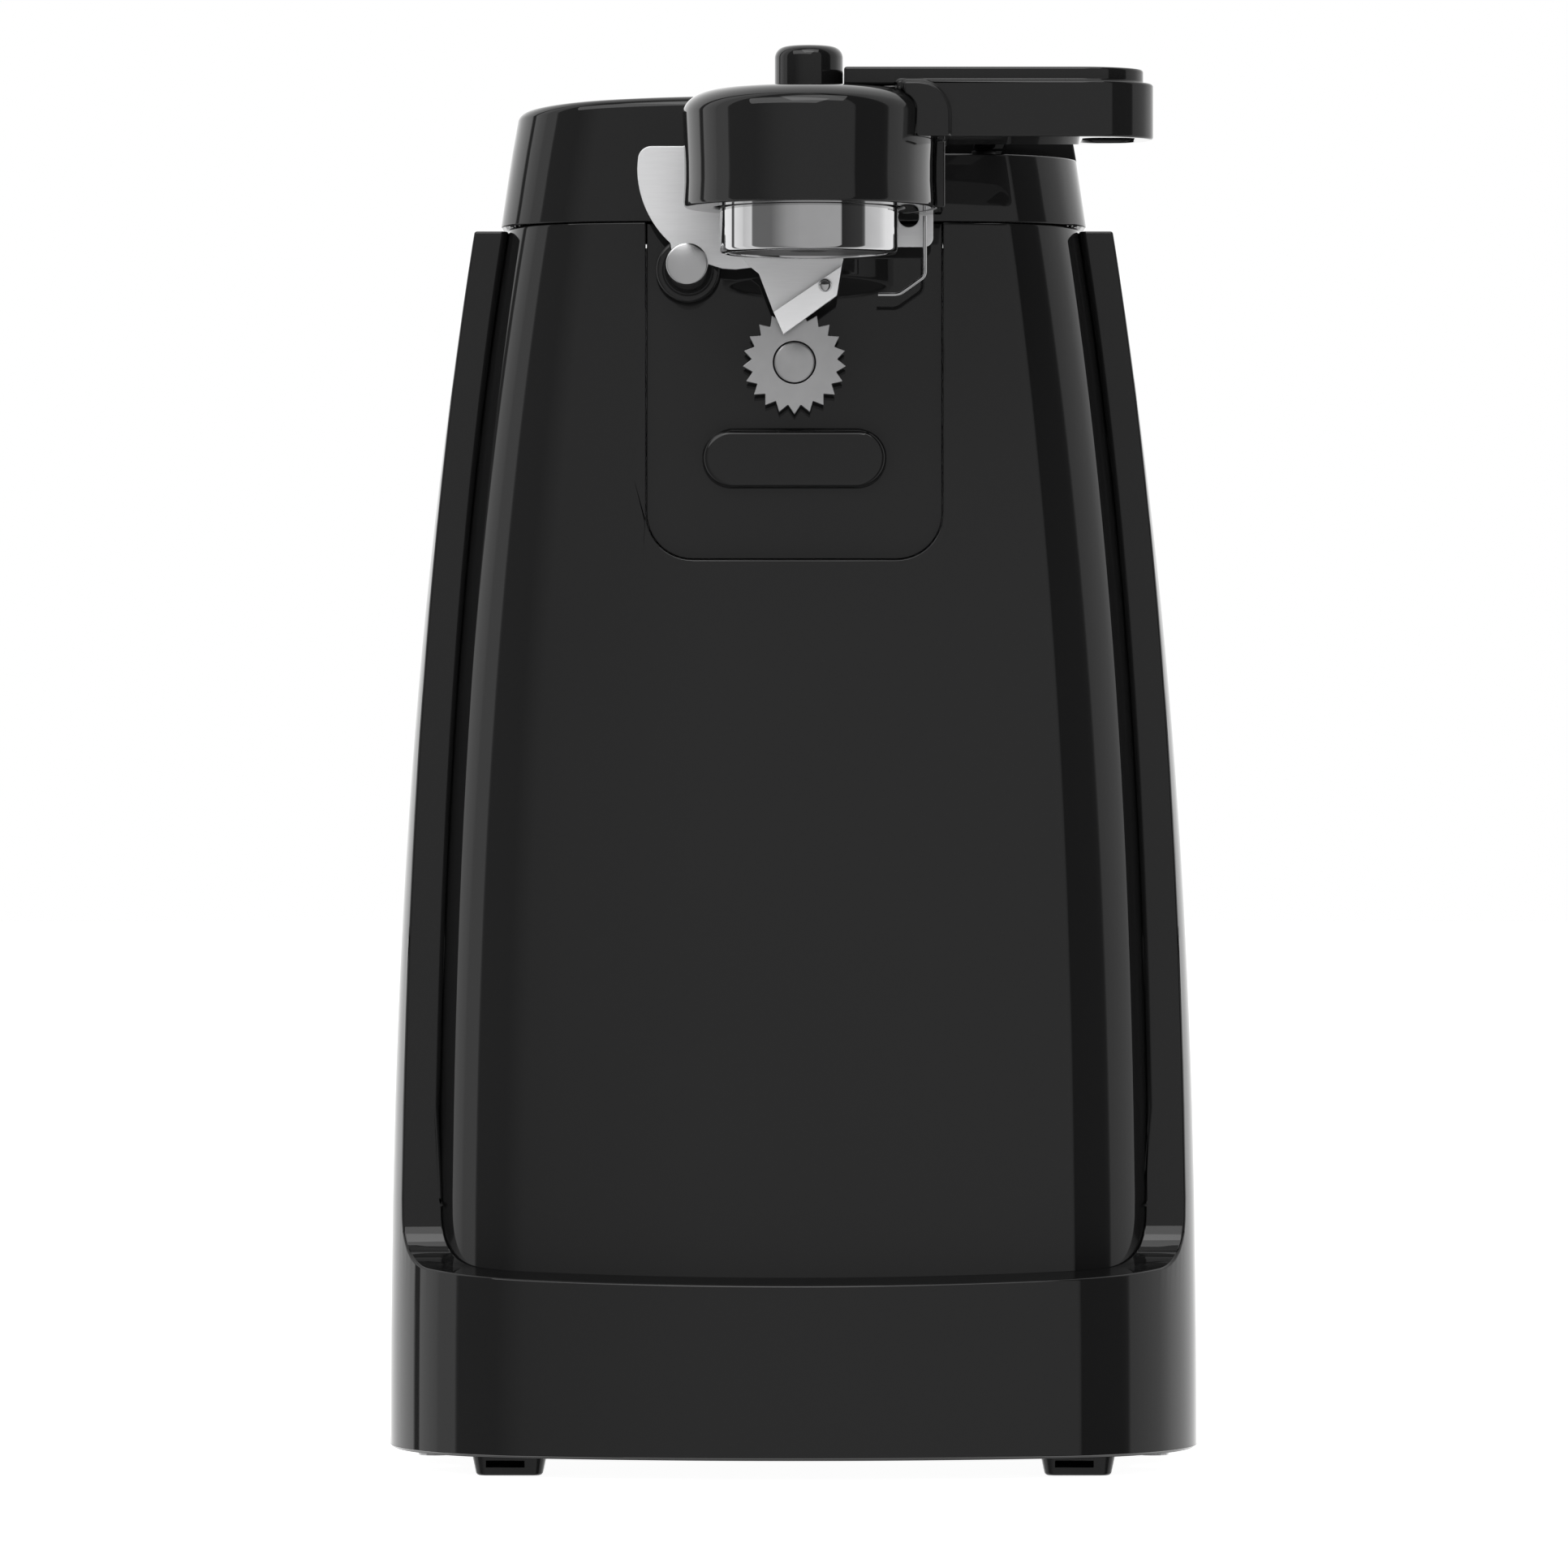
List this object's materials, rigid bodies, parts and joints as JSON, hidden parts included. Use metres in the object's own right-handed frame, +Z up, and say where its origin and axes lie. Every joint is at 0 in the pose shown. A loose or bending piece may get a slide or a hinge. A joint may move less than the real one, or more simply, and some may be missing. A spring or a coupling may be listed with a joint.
{
  "type": "electric can opener",
  "caption": "Tall black countertop can opener with a press lever, cutting wheel and blade, lid magnet on a sliding knob, and a motor with gears inside.",
  "frame": {"origin": "middle of the bounding box in plan, on the plane that the four feet stand on", "axes": "+Z up, -Y towards the user at the cutting side, +X to the right seen from the front, where the lever handle points"},
  "size_m": [0.134, 0.1264, 0.232],
  "materials": {
    "gloss_black": "polished black moulded plastic",
    "matte_black": "plain black moulded plastic",
    "rubber": "soft black rubber",
    "satin_steel": "satin stamped steel",
    "ground_steel": "bright ground edge",
    "chrome": "bright chrome plate",
    "bright_steel": "bright drawn steel",
    "zinc_steel": "zinc plated steel",
    "laminations": "stacked sheet steel",
    "bronze": "sintered bronze",
    "copper": "enamelled copper wire",
    "nylon": "natural nylon",
    "ferrite": "dark ferrite"
  },
  "bodies": {
    "housing": {"rear_housing": "gloss_black", "front_shell": "gloss_black", "top_cap": "gloss_black", "mechanism_panel": "gloss_black", "can_rest_pad": "gloss_black", "bottom_cover": "matte_black", "foot_front_left": "rubber", "foot_front_right": "rubber", "foot_rear_left": "rubber", "foot_rear_right": "rubber", "base_screw_1": "zinc_steel", "base_screw_2": "zinc_steel", "base_screw_3": "zinc_steel", "base_screw_4": "zinc_steel", "cord_inlet": "rubber", "gear_plate": "zinc_steel", "plate_screw_1": "zinc_steel", "plate_screw_2": "zinc_steel", "plate_screw_3": "zinc_steel", "motor_post_1": "zinc_steel", "motor_post_2": "zinc_steel", "motor_post_3": "zinc_steel", "motor_post_4": "zinc_steel", "drive_bush": "bronze", "motor_front_plate": "zinc_steel", "motor_rear_plate": "zinc_steel", "front_bearing": "bronze", "rear_bearing": "bronze", "motor_bolt_1": "zinc_steel", "motor_bolt_2": "zinc_steel", "stator_core": "laminations", "field_coil": "copper", "idler_axle": "bright_steel", "pivot_pin": "chrome", "pivot_seat": "gloss_black", "switch_body": "matte_black", "switch_spring": "bright_steel"},
    "lever": {"lever_handle": "gloss_black", "cutter_plate": "satin_steel", "blade_carrier": "satin_steel", "cutting_blade": "ground_steel", "blade_rivet": "chrome", "magnet_housing": "gloss_black", "lid_guide_wire": "chrome", "lever_screw_1": "zinc_steel", "lever_screw_2": "zinc_steel", "magnet_spring": "bright_steel"},
    "magnet": {"magnet_knob": "gloss_black", "magnet_stem": "bright_steel", "lid_magnet_cup": "chrome", "magnet_disc": "ferrite"},
    "drive": {"drive_wheel": "satin_steel", "drive_shaft": "bright_steel", "output_gear": "zinc_steel", "shaft_clip": "zinc_steel"},
    "idler": {"idler_gear": "nylon"},
    "rotor": {"rotor_core": "laminations", "rotor_shaft": "bright_steel", "cooling_fan": "matte_black"},
    "switch": {"switch_plunger": "matte_black"}
  },
  "joints": [
    {"name": "lever_hinge", "type": "hinge", "parent": "housing", "child": "lever", "pos_m": [-0.0173, -0.0252, 0.1974], "axis": [0, -1, 0], "range_deg": [0, 45]},
    {"name": "magnet_slide", "type": "slide", "parent": "lever", "child": "magnet", "axis": [0, 0, -1], "range_m": [0, 0.006], "stiffness_N_per_m": 1500, "deforming": ["magnet_spring"]},
    {"name": "drive_spin", "type": "hinge", "parent": "housing", "child": "drive", "pos_m": [0.0001, -0.0212, 0.1821], "axis": [0, -1, 0], "continuous": true},
    {"name": "idler_spin", "type": "hinge", "parent": "housing", "child": "idler", "pos_m": [0.0001, 0, 0.1569], "axis": [0, -1, 0], "continuous": true},
    {"name": "rotor_spin", "type": "hinge", "parent": "housing", "child": "rotor", "pos_m": [0.0001, 0.026, 0.1359], "axis": [0, -1, 0], "continuous": true},
    {"name": "switch_slide", "type": "slide", "parent": "housing", "child": "switch", "axis": [0, 0, -1], "range_m": [0, 0.0014], "stiffness_N_per_m": 80, "deforming": ["switch_spring"]}
  ],
  "couplings": [
    {"joint": "drive_spin", "follows": "rotor_spin", "ratio": 0.05},
    {"joint": "idler_spin", "follows": "rotor_spin", "ratio": -0.25}
  ]
}
